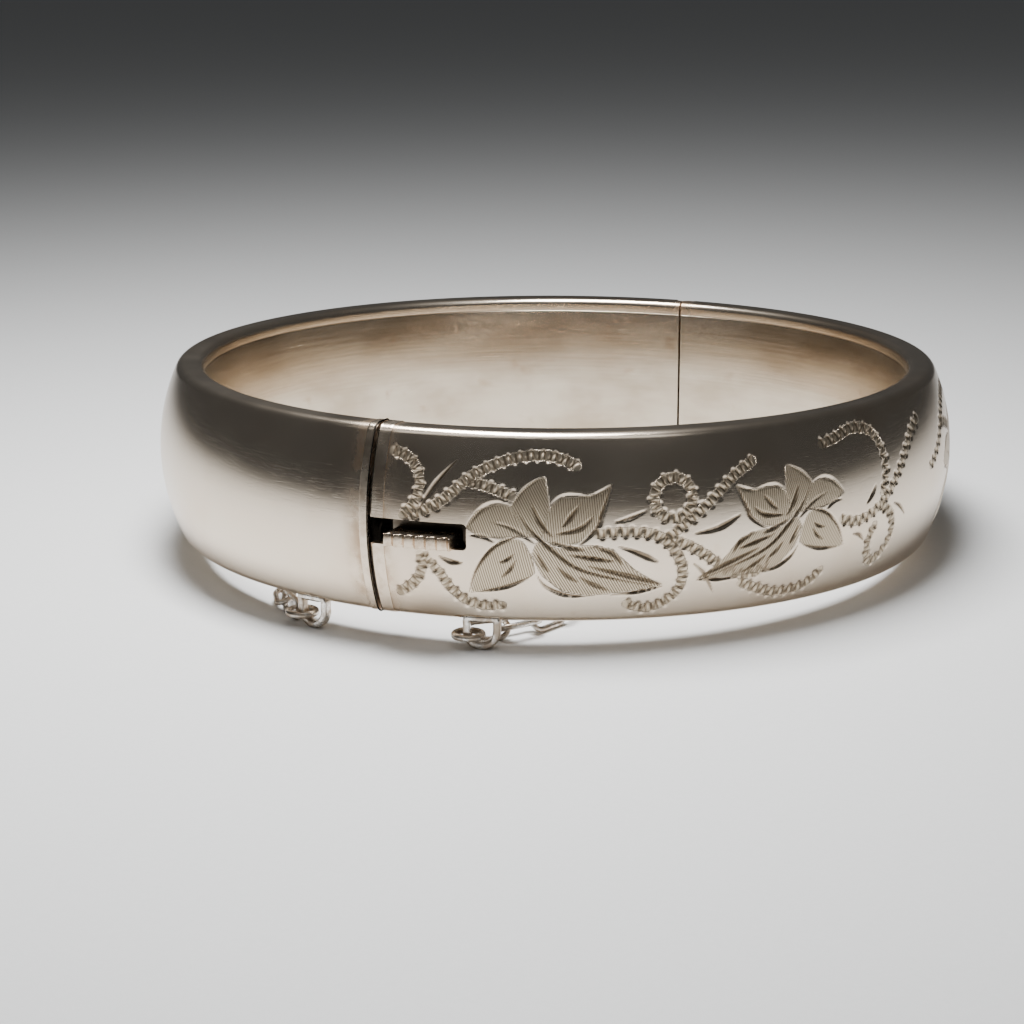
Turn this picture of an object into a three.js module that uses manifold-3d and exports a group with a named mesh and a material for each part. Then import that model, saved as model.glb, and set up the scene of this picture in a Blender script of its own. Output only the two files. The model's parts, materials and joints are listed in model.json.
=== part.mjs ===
// Hinged bangle bracelet: two hollow half rings, a knuckle hinge at +Y, a tongue clasp at -Y
// and a safety chain between two loops under the clasp. Millimetres, +Z up along the wrist axis.
// The origin is the centre of the wrist circle, on the surface that the safety loops stand on.
import * as THREE from "three";
import { mergeVertices } from "three/addons/utils/BufferGeometryUtils.js";
import Module from "manifold-3d";

const wasm = await Module();
wasm.setup();

// Band section: flat inside, domed outside, with rounded rims.
const INNER_RADIUS = 29;
const OUTER_RADIUS = 32.75;
const BAND_HEIGHT = 14;
const DOME_RADIUS = 15.4;
const INNER_EDGE_ROUND = 0.6;
const OUTER_EDGE_ROUND = 0.8;
const WALL = 0.55;
const LINER_WALL = 0.45;
const LINER_HEIGHT = 11.7;
const RIM_FOLD_HEIGHT = 11.8;
const FIT_GAP = 0.04;
const SEAM_GAP = 0.3;
const HINGE_SEAM_GAP = 0.2;
const RING_SEGMENTS = 60;
const EDGE_STEPS = 3;
const DOME_STEPS = 8;

// Hinge: five knuckles on one pin, in a notch that opens outwards.
const PIN_Y = 31;
const PIN_RADIUS = 0.35;
const PIN_LENGTH = 13.7;
const BORE_RADIUS = 0.4;
const KNUCKLE_RADIUS = 0.85;
const KNUCKLE_COUNT = 5;
const KNUCKLE_STACK = 13.6;
const KNUCKLE_GAP = 0.08;
const KNUCKLE_CLEARANCE = 0.1;
const LUG_THICKNESS = 0.8;
const LUG_INWARD = 0.6;
const HINGE_PLATE_X = 1.08;
const HINGE_PLATE_THICKNESS = 0.5;
const NOTCH_HALF_ANGLE = THREE.MathUtils.degToRad(17.5);

// Clasp: end plates, a folded tongue and its thumb piece. Radii here are from the hinge pin,
// because the tongue slides out along a circle round that pin.
const PLAIN_PLATE_THICKNESS = 0.7;
const ENGRAVED_PLATE_THICKNESS = 1;
const PLATE_PROUD = 0.05;
const TONGUE_HEIGHT = 5;
const TONGUE_OPENING_HEIGHT = 5.3;
const TONGUE_REACH = 8.75;
const FIXED_LEAF_INNER = 61.15;
const FIXED_LEAF_OUTER = 61.5;
const TONGUE_OPENING_INNER = 61.05;
const TONGUE_OPENING_OUTER = 62.62;
const SPRING_FOLD_X = 8.3;
const SPRING_FREE_X = 1.32;
const SPRING_THICKNESS = 0.35;
const SPRING_FREE_OUTER = 62.55;
const SPRING_FOLD_OUTER = 61.92;
const SPRING_STEPS = 6;
const SLOT_END_X = 7.3;
const SLOT_BOTTOM = -1.4;
const SLOT_TOP = 0.55;
const SLOT_INNER_Y = -30.7;
const THUMB_START_X = 1.6;
const THUMB_END_X = 6.55;
const THUMB_BOTTOM = -1.3;
const THUMB_THICKNESS = 0.95;
const THUMB_PROUD = 0.95;
const FLUTES = 4;
const FLUTE_DEPTH = 0.22;

// Safety loops under the band, one each side of the clasp.
const LOOP_ANGLE = { plain: -101.5, engraved: -75.7 };
const LOOP_INNER_RADIUS = 30.4;
const LOOP_DEPTH = 0.8;
const LOOP_DROP = 2.25;
const LOOP_HALF_WIDTH = 1.4;
const LOOP_BAR = 0.55;
const LOOP_BURY = 0.5;

// Safety chain: a jump ring in each loop, then oval links that meet halfway.
const RING_RADIUS = 1.05;
const RING_WIRE = 0.26;
const RING_OFFSET = 0.28;
const RING_REACH = 0.97;
const RING_DIRECTION = { plain: 150, engraved: 112 };
const CHAIN_HEIGHT = 0.95;
const LINKS_PER_SIDE = 10;
const LINK_PITCH = 2.65;
const LINK_WIRE = 0.22;
const LINK_HALF_WIDTH = 0.7;
const LINK_PLAY = 0.15;
const MEETING_PLAY = 0.9;
const DRAPE_MEAN = 68;
const DRAPE_SPREAD = 72;
const LINK_ROLL = 45;
const ROLL_FADE = 0.5;

const BAND_BOTTOM = LOOP_DROP;
const BAND_MIDDLE = BAND_BOTTOM + BAND_HEIGHT / 2;

// The bangle lies on its loops in front and on its lower rim behind, so what it lies on rises
// by this much for each millimetre towards the hinge. The chain lies along it.
const LEAN = LOOP_DROP / (2 * LOOP_INNER_RADIUS + LOOP_DEPTH);

// Reaches and tolerances of the cutting shapes.
const FAR = 40;
const PAST = 1;
const OVERLAP = 0.001;
const MERGE_TOLERANCE = 1e-4;
const CENTRE_TOLERANCE = 1e-6;
const MOUTH_MARGIN = 0.2;

// Sides and steps of the round shapes.
const KNUCKLE_SIDES = 20;
const PIN_SIDES = 16;
const TONGUE_STEPS = 8;
const THUMB_BASE_STEPS = 6;
const FLUTE_STEPS = 5;
const LOOP_CURVE_STEPS = 8;
const RING_SIDES = [8, 20];
const LINK_SIDES = [6, 16];
const rad = THREE.MathUtils.degToRad;

const FINISH = {
  silver: { color: 0xc9c4bb, roughness: 0.22, metalness: 1 },
  satin: { color: 0xb9aa94, roughness: 0.38, metalness: 1 },
  solder: { color: 0xa8845c, roughness: 0.45, metalness: 1 },
  wire: { color: 0xa39a90, roughness: 0.3, metalness: 1 },
};

// A closed three.js geometry as a manifold-3d solid.
function solid(geometry) {
  const bare = geometry.index ? geometry.toNonIndexed() : geometry.clone();
  bare.deleteAttribute("normal");
  bare.deleteAttribute("uv");
  const merged = mergeVertices(bare, MERGE_TOLERANCE);
  return new wasm.Manifold(
    new wasm.Mesh({
      numProp: 3,
      vertProperties: merged.attributes.position.array,
      triVerts: new Uint32Array(merged.index.array),
    }),
  );
}

// A manifold-3d solid as a named mesh.
function mesh(name, shape, finish) {
  const data = shape.getMesh();
  const geometry = new THREE.BufferGeometry();
  const positions = new Float32Array(data.numVert * 3);
  for (let i = 0; i < data.numVert; i += 1) {
    const start = i * data.numProp;
    positions.set(data.vertProperties.subarray(start, start + 3), i * 3);
  }
  geometry.setAttribute("position", new THREE.BufferAttribute(positions, 3));
  geometry.setIndex(new THREE.BufferAttribute(data.triVerts, 1));
  geometry.computeVertexNormals();
  const made = new THREE.Mesh(geometry, new THREE.MeshStandardMaterial(FINISH[finish]));
  made.name = name;
  return made;
}

function box(x0, x1, y0, y1, z0, z1) {
  const geometry = new THREE.BoxGeometry(x1 - x0, y1 - y0, z1 - z0);
  geometry.translate((x0 + x1) / 2, (y0 + y1) / 2, (z0 + z1) / 2);
  return solid(geometry);
}

// An outline in the XY plane pushed up along Z.
function slab(shape, z0, z1, curveSegments = 1) {
  const geometry = new THREE.ExtrudeGeometry(shape, {
    depth: z1 - z0,
    bevelEnabled: false,
    curveSegments,
  });
  geometry.translate(0, 0, z0);
  return solid(geometry);
}

function pinCylinder(radius, z0, z1, sides) {
  const geometry = new THREE.CylinderGeometry(radius, radius, z1 - z0, sides);
  geometry.rotateX(Math.PI / 2);
  geometry.translate(0, PIN_Y, (z0 + z1) / 2);
  return solid(geometry);
}

// A full ring turned round Z from a closed outline of (radius, height) points.
function ring(outline) {
  const closed = [...outline, outline[0].clone()];
  const geometry = new THREE.LatheGeometry(closed, RING_SEGMENTS);
  geometry.rotateX(Math.PI / 2);
  const made = solid(geometry);
  return made.volume() < 0 ? ring([...outline].reverse()) : made;
}

function arcPoints(cx, cz, radius, from, to, steps) {
  const points = [];
  for (let i = 0; i <= steps; i += 1) {
    const a = from + ((to - from) * i) / steps;
    points.push(new THREE.Vector2(cx + radius * Math.cos(a), cz + radius * Math.sin(a)));
  }
  return points;
}

// The band's section, moved inwards by inset all the way round.
function bandOutline(inset) {
  const half = BAND_HEIGHT / 2;
  const domeCentre = OUTER_RADIUS - DOME_RADIUS;
  const filletZ = half - OUTER_EDGE_ROUND;
  const filletReach = DOME_RADIUS - OUTER_EDGE_ROUND;
  const filletX = domeCentre + Math.sqrt(filletReach ** 2 - filletZ ** 2);
  const tangent = Math.asin(filletZ / filletReach);
  const innerX = INNER_RADIUS + INNER_EDGE_ROUND;
  const innerZ = half - INNER_EDGE_ROUND;
  const innerR = INNER_EDGE_ROUND - inset;
  const outerR = OUTER_EDGE_ROUND - inset;
  const quarter = Math.PI / 2;
  return [
    ...arcPoints(innerX, -innerZ, innerR, -2 * quarter, -quarter, EDGE_STEPS),
    ...arcPoints(filletX, -filletZ, outerR, -quarter, -tangent, EDGE_STEPS),
    ...arcPoints(domeCentre, 0, DOME_RADIUS - inset, -tangent, tangent, DOME_STEPS).slice(1, -1),
    ...arcPoints(filletX, filletZ, outerR, tangent, quarter, EDGE_STEPS),
    ...arcPoints(innerX, innerZ, innerR, quarter, 2 * quarter, EDGE_STEPS),
  ];
}

function rectangle(r0, r1, half) {
  return [
    new THREE.Vector2(r0, -half),
    new THREE.Vector2(r1, -half),
    new THREE.Vector2(r1, half),
    new THREE.Vector2(r0, half),
  ];
}

const band = ring(bandOutline(0));
const proudBand = ring(bandOutline(-PLATE_PROUD));
const loopSeat = ring(bandOutline(-FIT_GAP));
const hollow = ring(bandOutline(WALL));
const plateCore = ring(bandOutline(WALL + FIT_GAP));
const mouthDepth = INNER_RADIUS + WALL + MOUTH_MARGIN;
const innerMouth = ring(rectangle(INNER_RADIUS - PAST, mouthDepth, RIM_FOLD_HEIGHT / 2));
const linerRing = ring(rectangle(INNER_RADIUS, INNER_RADIUS + LINER_WALL, LINER_HEIGHT / 2));
const shellRing = band.subtract(hollow).subtract(innerMouth);

// What is cut away round the pin: a clearance cylinder and a notch that widens outwards.
function hingeNotch() {
  const reach = OUTER_RADIUS - PIN_Y + PAST;
  const shape = new THREE.Shape();
  shape.moveTo(0, PIN_Y);
  shape.lineTo(reach * Math.tan(NOTCH_HALF_ANGLE), PIN_Y + reach);
  shape.lineTo(-reach * Math.tan(NOTCH_HALF_ANGLE), PIN_Y + reach);
  const clearance = KNUCKLE_RADIUS + KNUCKLE_CLEARANCE;
  return slab(shape, -FAR, FAR).add(pinCylinder(clearance, -FAR, FAR, KNUCKLE_SIDES));
}

const notch = hingeNotch();

// side is -1 for the plain half and 1 for the engraved half.
function halfSpace(side, fromX, y0, y1) {
  return side > 0 ? box(fromX, FAR, y0, y1, -FAR, FAR) : box(-FAR, -fromX, y0, y1, -FAR, FAR);
}

function halfOf(wholeRing, side, claspX) {
  const front = halfSpace(side, claspX, -FAR, 0);
  const back = halfSpace(side, HINGE_SEAM_GAP / 2, -OVERLAP, FAR);
  return wholeRing.intersect(front.add(back)).subtract(notch);
}

function claspPlate(side, thickness) {
  const x0 = SEAM_GAP / 2;
  const x1 = x0 + thickness;
  const cut = side > 0 ? box(x0, x1, -FAR, 0, -FAR, FAR) : box(-x1, -x0, -FAR, 0, -FAR, FAR);
  return proudBand.intersect(cut);
}

function hingePlate(side) {
  const x0 = HINGE_PLATE_X;
  const x1 = x0 + HINGE_PLATE_THICKNESS;
  const cut = side > 0 ? box(x0, x1, 0, FAR, -FAR, FAR) : box(-x1, -x0, 0, FAR, -FAR, FAR);
  return plateCore.intersect(cut);
}

// Height of the circle of this radius round the pin, at this x.
function pinArcY(radius, x) {
  return PIN_Y - Math.sqrt(radius ** 2 - x ** 2);
}

function pinSector(rInner, rOuter, x0, x1, halfHeight) {
  const shape = new THREE.Shape();
  const step = (x1 - x0) / TONGUE_STEPS;
  const xs = Array.from({ length: TONGUE_STEPS + 1 }, (_, i) => x0 + step * i);
  xs.forEach((x, i) => {
    if (i === 0) shape.moveTo(x, pinArcY(rOuter, x));
    else shape.lineTo(x, pinArcY(rOuter, x));
  });
  [...xs].reverse().forEach((x) => shape.lineTo(x, pinArcY(rInner, x)));
  return slab(shape, -halfHeight, halfHeight);
}

function tongueLeaf() {
  const start = -SEAM_GAP / 2 + FIT_GAP;
  const leaf = pinSector(FIXED_LEAF_INNER, FIXED_LEAF_OUTER, start, TONGUE_REACH, TONGUE_HEIGHT / 2);
  const bendStart = SPRING_FOLD_X + FIT_GAP;
  const bend = pinSector(FIXED_LEAF_INNER, SPRING_FOLD_OUTER, bendStart, TONGUE_REACH, TONGUE_HEIGHT / 2);
  return leaf.add(bend);
}

// Distance of the spring leaf's outer face from the pin, at this x.
function springOuter(x) {
  const t = (x - SPRING_FREE_X) / (SPRING_FOLD_X - SPRING_FREE_X);
  return SPRING_FREE_OUTER + (SPRING_FOLD_OUTER - SPRING_FREE_OUTER) * t;
}

function springLeaf() {
  const shape = new THREE.Shape();
  const step = (SPRING_FOLD_X - SPRING_FREE_X) / SPRING_STEPS;
  const xs = Array.from({ length: SPRING_STEPS + 1 }, (_, i) => SPRING_FREE_X + step * i);
  xs.forEach((x, i) => {
    if (i === 0) shape.moveTo(x, pinArcY(springOuter(x), x));
    else shape.lineTo(x, pinArcY(springOuter(x), x));
  });
  [...xs].reverse().forEach((x) => shape.lineTo(x, pinArcY(springOuter(x) - SPRING_THICKNESS, x)));
  return slab(shape, -TONGUE_HEIGHT / 2, TONGUE_HEIGHT / 2);
}

function thumbPiece() {
  const face = (x) => -Math.sqrt((OUTER_RADIUS + THUMB_PROUD) ** 2 - x ** 2);
  const base = (x) => pinArcY(springOuter(x), x) - FIT_GAP;
  const shape = new THREE.Shape();
  const pitch = (THUMB_END_X - THUMB_START_X) / FLUTES;
  shape.moveTo(THUMB_START_X, base(THUMB_START_X));
  shape.lineTo(THUMB_START_X, face(THUMB_START_X));
  for (let i = 0; i < FLUTES; i += 1) {
    const x0 = THUMB_START_X + pitch * i;
    const middle = x0 + pitch / 2;
    const x1 = x0 + pitch;
    shape.quadraticCurveTo(middle, face(middle) + 2 * FLUTE_DEPTH, x1, face(x1));
  }
  for (let i = 0; i < THUMB_BASE_STEPS; i += 1) {
    const x = THUMB_END_X + ((THUMB_START_X - THUMB_END_X) * i) / THUMB_BASE_STEPS;
    shape.lineTo(x, base(x));
  }
  return slab(shape, THUMB_BOTTOM, THUMB_BOTTOM + THUMB_THICKNESS, FLUTE_STEPS);
}

// Knuckles are counted from the bottom; odd ones belong to the plain half.
function knuckle(index) {
  const pitch = KNUCKLE_STACK / KNUCKLE_COUNT;
  const z0 = -KNUCKLE_STACK / 2 + pitch * index + KNUCKLE_GAP / 2;
  const z1 = z0 + pitch - KNUCKLE_GAP;
  const side = index % 2 === 0 ? -1 : 1;
  const reach = HINGE_PLATE_X - FIT_GAP;
  const y0 = PIN_Y - LUG_INWARD - LUG_THICKNESS / 2;
  const y1 = y0 + LUG_THICKNESS;
  const bar = side > 0 ? box(0, reach, y0, y1, z0, z1) : box(-reach, 0, y0, y1, z0, z1);
  const lug = bar.intersect(plateCore);
  const bore = pinCylinder(BORE_RADIUS, -FAR, FAR, PIN_SIDES);
  return pinCylinder(KNUCKLE_RADIUS, z0, z1, KNUCKLE_SIDES).add(lug).subtract(bore);
}

function dOutline(path, halfWidth, top, bottom) {
  const straight = bottom + halfWidth;
  path.moveTo(-halfWidth, top);
  path.lineTo(-halfWidth, straight);
  path.absarc(0, straight, halfWidth, Math.PI, 2 * Math.PI, false);
  path.lineTo(halfWidth, top);
  path.closePath();
  return path;
}

// A D-shaped loop that faces outwards, cut to sit against the band's lower rim.
function safetyLoop(angle) {
  const rim = -BAND_HEIGHT / 2;
  const shape = dOutline(new THREE.Shape(), LOOP_HALF_WIDTH, rim + LOOP_BURY, rim - LOOP_DROP);
  const holeHalf = LOOP_HALF_WIDTH - LOOP_BAR;
  shape.holes.push(dOutline(new THREE.Path(), holeHalf, rim - LOOP_BAR / 2, rim - LOOP_DROP + LOOP_BAR));
  const geometry = new THREE.ExtrudeGeometry(shape, {
    depth: LOOP_DEPTH,
    bevelEnabled: false,
    curveSegments: LOOP_CURVE_STEPS,
  });
  const a = rad(angle);
  const tangent = new THREE.Vector3(-Math.sin(a), Math.cos(a), 0);
  const outward = new THREE.Vector3(Math.cos(a), Math.sin(a), 0);
  const turn = new THREE.Matrix4().makeBasis(tangent, new THREE.Vector3(0, 0, 1), outward);
  turn.setPosition(outward.clone().multiplyScalar(LOOP_INNER_RADIUS));
  geometry.applyMatrix4(turn);
  return solid(geometry).subtract(loopSeat);
}

// The middle of the loop's limb that the jump ring hangs round.
function loopLimb(angle) {
  const a = rad(angle);
  const r = LOOP_INNER_RADIUS + LOOP_DEPTH / 2;
  const limbRadius = LOOP_HALF_WIDTH - LOOP_BAR / 2;
  const below = LOOP_HALF_WIDTH - CHAIN_HEIGHT;
  const along = -Math.sqrt(limbRadius ** 2 - below ** 2);
  return new THREE.Vector3(
    r * Math.cos(a) - along * Math.sin(a),
    r * Math.sin(a) + along * Math.cos(a),
    CHAIN_HEIGHT - BAND_MIDDLE,
  );
}

function jumpRing() {
  const geometry = new THREE.TorusGeometry(RING_RADIUS, RING_WIRE, ...RING_SIDES);
  geometry.translate(RING_OFFSET, 0, 0);
  return solid(geometry);
}

// An oval link along +X from its own pivot, rolled round its length and climbing by this angle.
function chainLink(roll, climb, nearPlay, farPlay) {
  const nearEnd = -(LINK_WIRE + nearPlay / 2);
  const farEnd = LINK_PITCH + LINK_WIRE + farPlay / 2;
  const middle = (nearEnd + farEnd) / 2;
  const stretch = (farEnd - nearEnd) / 2 - LINK_HALF_WIDTH;
  const geometry = new THREE.TorusGeometry(LINK_HALF_WIDTH, LINK_WIRE, ...LINK_SIDES);
  const position = geometry.attributes.position;
  for (let i = 0; i < position.count; i += 1) {
    const x = position.getX(i);
    const side = Math.abs(x) < CENTRE_TOLERANCE ? 0 : Math.sign(x);
    position.setX(i, x + side * stretch);
  }
  geometry.rotateX(roll);
  geometry.translate(middle, 0, 0);
  geometry.rotateY(-climb);
  return solid(geometry);
}

// Direction of one link of a draped side, in degrees from the line between the two loops.
function drapeAngle(index) {
  const t = 1 - (2 * index) / (LINKS_PER_SIDE - 1);
  return DRAPE_MEAN + DRAPE_SPREAD * t;
}

// One side of the chain: nested groups, each turned on the end of the one before it.
// sense is 1 for the plain side and -1 for the mirrored, engraved side.
function chainSide(name, sense) {
  const limb = new THREE.Group();
  limb.name = name + "_jump_ring_pivot";
  limb.position.copy(loopLimb(LOOP_ANGLE[name]));
  limb.rotation.z = rad(RING_DIRECTION[name]);
  limb.add(mesh(name + "_jump_ring", jumpRing(), "wire"));
  let parent = limb;
  let heading = RING_DIRECTION[name];
  let end = new THREE.Vector3(RING_REACH, 0, 0);
  for (let i = 0; i < LINKS_PER_SIDE; i += 1) {
    const next = sense > 0 ? drapeAngle(i) : 180 - drapeAngle(i);
    const climb = Math.atan(LEAN * Math.sin(rad(next)));
    const fade = LINK_ROLL * ROLL_FADE ** i;
    const roll = rad((i % 2 === 0 ? LINK_ROLL : -LINK_ROLL) + fade);
    const last = i === LINKS_PER_SIDE - 1;
    const link = new THREE.Group();
    const label = name + "_chain_link_" + String(i + 1).padStart(2, "0");
    link.name = label + "_pivot";
    link.position.copy(end);
    link.rotation.z = rad(next - heading);
    const farPlay = last ? MEETING_PLAY : LINK_PLAY;
    link.add(mesh(label, chainLink(roll, climb, LINK_PLAY, farPlay), "wire"));
    parent.add(link);
    parent = link;
    heading = next;
    end = new THREE.Vector3(LINK_PITCH * Math.cos(climb), 0, LINK_PITCH * Math.sin(climb));
  }
  return limb;
}

function plainHalf() {
  const group = new THREE.Group();
  const start = SEAM_GAP / 2 + PLAIN_PLATE_THICKNESS + FIT_GAP;
  group.add(mesh("plain_outer_shell", halfOf(shellRing, -1, start), "silver"));
  group.add(mesh("plain_inner_liner", halfOf(linerRing, -1, start), "satin"));
  group.add(mesh("plain_clasp_plate", claspPlate(-1, PLAIN_PLATE_THICKNESS), "silver"));
  group.add(mesh("plain_hinge_plate", hingePlate(-1), "silver"));
  group.add(mesh("tongue_leaf", tongueLeaf(), "satin"));
  group.add(mesh("plain_safety_loop", safetyLoop(LOOP_ANGLE.plain), "wire"));
  const pin = pinCylinder(PIN_RADIUS, -PIN_LENGTH / 2, PIN_LENGTH / 2, PIN_SIDES);
  group.add(mesh("hinge_pin", pin, "solder"));
  return group;
}

function engravedHalf() {
  const group = new THREE.Group();
  const start = SEAM_GAP / 2 + ENGRAVED_PLATE_THICKNESS + FIT_GAP;
  const slot = box(0, SLOT_END_X, -FAR, SLOT_INNER_Y, SLOT_BOTTOM, SLOT_TOP);
  const mouthHalf = TONGUE_OPENING_HEIGHT / 2;
  const mouthEnd = SEAM_GAP / 2 + ENGRAVED_PLATE_THICKNESS + PAST;
  const mouth = pinSector(TONGUE_OPENING_INNER, TONGUE_OPENING_OUTER, 0, mouthEnd, mouthHalf);
  const plate = claspPlate(1, ENGRAVED_PLATE_THICKNESS).subtract(mouth).subtract(slot);
  group.add(mesh("engraved_outer_shell", halfOf(shellRing, 1, start).subtract(slot), "silver"));
  group.add(mesh("engraved_inner_liner", halfOf(linerRing, 1, start), "satin"));
  group.add(mesh("engraved_clasp_plate", plate, "silver"));
  group.add(mesh("engraved_hinge_plate", hingePlate(1), "silver"));
  group.add(mesh("engraved_safety_loop", safetyLoop(LOOP_ANGLE.engraved), "wire"));
  return group;
}

function claspSpring() {
  const group = new THREE.Group();
  group.add(mesh("spring_leaf", springLeaf(), "satin"));
  group.add(mesh("thumb_piece", thumbPiece(), "silver"));
  return group;
}

function hingeKnuckles() {
  const group = new THREE.Group();
  for (let i = 0; i < KNUCKLE_COUNT; i += 1) {
    group.add(mesh("hinge_knuckle_" + (i + 1), knuckle(i), "solder"));
  }
  return group;
}

const bangle = new THREE.Group();
bangle.position.z = BAND_MIDDLE;
bangle.add(plainHalf());
bangle.add(engravedHalf());
bangle.add(claspSpring());
bangle.add(hingeKnuckles());
bangle.add(chainSide("plain", 1));
bangle.add(chainSide("engraved", -1));

export default bangle;
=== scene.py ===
"""A hollow hinged silver bangle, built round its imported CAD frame.

The two band halves, the plates, loops, chain and hinge are rebuilt here as smooth meshes that
ride on the CAD bodies. The leaf and scroll engraving is cut into the real surface.
Shapes are worked out in millimetres and scaled to metres when a mesh is made.
"""

import json
import math

import bmesh
import bpy
import numpy as np
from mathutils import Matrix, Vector, noise

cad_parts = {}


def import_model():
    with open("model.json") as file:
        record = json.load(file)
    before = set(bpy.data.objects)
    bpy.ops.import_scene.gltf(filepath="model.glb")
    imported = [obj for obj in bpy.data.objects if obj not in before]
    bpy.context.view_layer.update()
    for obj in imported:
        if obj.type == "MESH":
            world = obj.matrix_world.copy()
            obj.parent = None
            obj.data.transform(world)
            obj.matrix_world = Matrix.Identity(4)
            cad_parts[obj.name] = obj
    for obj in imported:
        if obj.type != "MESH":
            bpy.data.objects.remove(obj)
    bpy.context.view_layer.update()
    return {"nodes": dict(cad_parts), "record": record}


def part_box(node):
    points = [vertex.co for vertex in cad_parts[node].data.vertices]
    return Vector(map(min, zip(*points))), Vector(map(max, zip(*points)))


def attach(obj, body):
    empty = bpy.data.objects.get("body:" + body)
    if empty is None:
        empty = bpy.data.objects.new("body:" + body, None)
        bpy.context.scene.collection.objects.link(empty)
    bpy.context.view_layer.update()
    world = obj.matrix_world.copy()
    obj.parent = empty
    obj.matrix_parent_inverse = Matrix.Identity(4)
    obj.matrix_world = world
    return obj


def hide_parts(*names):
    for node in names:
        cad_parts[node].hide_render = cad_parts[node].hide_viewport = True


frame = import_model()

MM = 0.001


def node_box(name):
    """Lowest and highest corner of a CAD node, in millimetres."""
    lo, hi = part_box(name)
    return lo / MM, hi / MM


# Sizes from the frame.
shell_lo, shell_hi = node_box("engraved_outer_shell")
BAND_MIDDLE = (shell_lo.z + shell_hi.z) / 2
HALF_HEIGHT = (shell_hi.z - shell_lo.z) / 2
OUTER_RADIUS = shell_hi.x
SHELL_START = {"engraved": shell_lo.x, "plain": -node_box("plain_outer_shell")[1].x}
LOOP_DROP = shell_lo.z

# The band's section, as in the CAD source.
INNER_RADIUS = 29.0
DOME_RADIUS = 15.4
INNER_ROUND = 0.6
OUTER_ROUND = 0.8
WALL = 0.5
FOLD_HALF = 5.9
ARC_RADIUS = 32.5
PLATE_PROUD = 0.05
SEAM_HALF = 0.15
PLATE_END = {"engraved": 1.15, "plain": 0.85}

# Hinge notch round the pin.
PIN_Y = 31.0
PIN_RADIUS = 0.35
KNUCKLE_RADIUS = 0.85
NOTCH_RADIUS = 0.95
NOTCH_SLOPE = math.tan(math.radians(17.5))
HINGE_SEAM_HALF = 0.1
HINGE_LUG_REACH = 1.04
HINGE_LUG_HALF = 0.4
HINGE_LUG_INWARD = 0.6

# Clasp: the slot that the thumb piece works in, and the mouth that the tongue enters.
SLOT_END = 7.37
SLOT_LOW = -1.4
SLOT_HIGH = 0.55
SLOT_CORNER = 0.3
MOUTH_ROUND = 0.35
TONGUE_MOUTH_HALF = 2.65
TONGUE_MOUTH_INNER = 61.05
TONGUE_MOUTH_OUTER = 62.62

# Safety loops.
LOOP_ANGLE = {"plain": -101.5, "engraved": -75.7}
LOOP_RADIUS = 30.8
LOOP_HALF_WIDTH = 1.4
LOOP_BAR = 0.55
LOOP_DEPTH = 0.8

# Wire radius of the jump rings and of the chain links.
RING_WIRE = 0.26
LINK_WIRE = 0.22

# Focal length, for a sensor 36 mm wide.
LENS_MM = 83.64

# The bangle stands on its loops in front and on its lower rim behind.
LEAN = LOOP_DROP / (2 * LOOP_RADIUS)


# ---------------------------------------------------------------- materials


class Nodes:
    """Short names for building a node tree."""

    def __init__(self, name):
        self.material = bpy.data.materials.new(name)
        self.material.use_nodes = True
        self.tree = self.material.node_tree
        self.shader = self.tree.nodes["Principled BSDF"]

    def add(self, kind, **values):
        node = self.tree.nodes.new(kind)
        for key, value in values.items():
            setattr(node, key, value)
        return node

    def link(self, a, b):
        self.tree.links.new(a, b)

    def put(self, socket, value):
        """Sets a socket, or links it if the value is another node's output."""
        if isinstance(value, bpy.types.NodeSocket):
            self.link(value, socket)
        else:
            socket.default_value = value

    def math(self, operation, a, b=0.0, clamp=False):
        node = self.add("ShaderNodeMath", operation=operation, use_clamp=clamp)
        self.put(node.inputs[0], a)
        self.put(node.inputs[1], b)
        return node.outputs[0]

    def mix(self, factor, a, b):
        node = self.add("ShaderNodeMix", data_type="RGBA")
        self.put(node.inputs[0], factor)
        self.put(node.inputs[6], a)
        self.put(node.inputs[7], b)
        return node.outputs[2]

    def step(self, value, low, high):
        """0 below low, 1 above high, smooth between."""
        node = self.add("ShaderNodeMapRange", interpolation_type="SMOOTHSTEP")
        self.put(node.inputs[0], value)
        node.inputs[1].default_value = low
        node.inputs[2].default_value = high
        return node.outputs[0]

    def object_coordinates(self):
        return self.add("ShaderNodeTexCoord").outputs["Object"]

    def attribute(self, name):
        return self.add("ShaderNodeAttribute", attribute_name=name).outputs["Fac"]

    def noise(self, vector, size_mm, detail=3.0, roughness=0.55):
        """Noise whose features are about size_mm across, on coordinates in metres."""
        node = self.add("ShaderNodeTexNoise")
        self.put(node.inputs["Vector"], vector)
        node.inputs["Scale"].default_value = 1 / (size_mm * MM)
        node.inputs["Detail"].default_value = detail
        node.inputs["Roughness"].default_value = roughness
        return node.outputs["Fac"]

    def scaled(self, vector, scale, rotation=(0.0, 0.0, 0.0)):
        node = self.add("ShaderNodeMapping")
        self.put(node.inputs["Vector"], vector)
        node.inputs["Scale"].default_value = scale
        node.inputs["Rotation"].default_value = rotation
        return node.outputs[0]

    def bump(self, height, distance_mm, strength=1.0, below=None):
        node = self.add("ShaderNodeBump")
        node.inputs["Strength"].default_value = strength
        node.inputs["Distance"].default_value = distance_mm * MM
        self.put(node.inputs["Height"], height)
        if below is not None:
            self.link(below, node.inputs["Normal"])
        return node.outputs[0]

    def finish(self, color, roughness, normal):
        self.put(self.shader.inputs["Base Color"], color)
        self.put(self.shader.inputs["Roughness"], roughness)
        self.link(normal, self.shader.inputs["Normal"])
        self.shader.inputs["Metallic"].default_value = 1.0
        return self.material


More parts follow.
